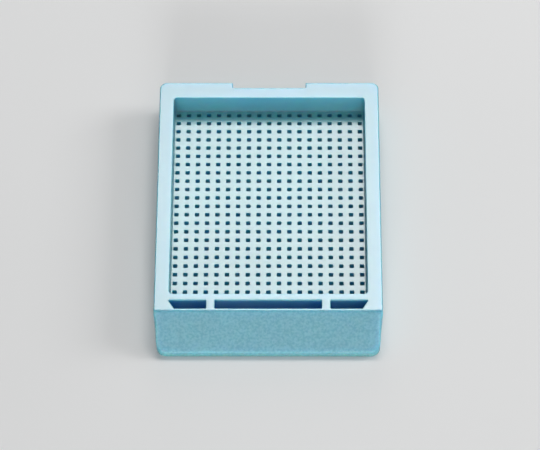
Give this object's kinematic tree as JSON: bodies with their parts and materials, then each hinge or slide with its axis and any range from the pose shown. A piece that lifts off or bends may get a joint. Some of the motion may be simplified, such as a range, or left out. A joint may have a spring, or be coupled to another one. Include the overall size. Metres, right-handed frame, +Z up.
{
  "type": "tissue cassette",
  "caption": "Shallow moulded tray with a finely perforated floor, a sloping label face, slots for a separate lid and back ledges for its catch.",
  "frame": {"origin": "bottom centre of the bounding box, on the plane that the bottom skirt stands on", "axes": "+X across the cassette, +Y from the sloping label face towards the back ledges, +Z up out of the open well"},
  "size_m": [0.0286, 0.0392, 0.0047],
  "materials": {
    "moulded_plastic": "pale blue acetal with a satin surface, finely textured on the label face"
  },
  "bodies": {
    "root": {"cassette_base": "moulded_plastic"}
  },
  "joints": []
}
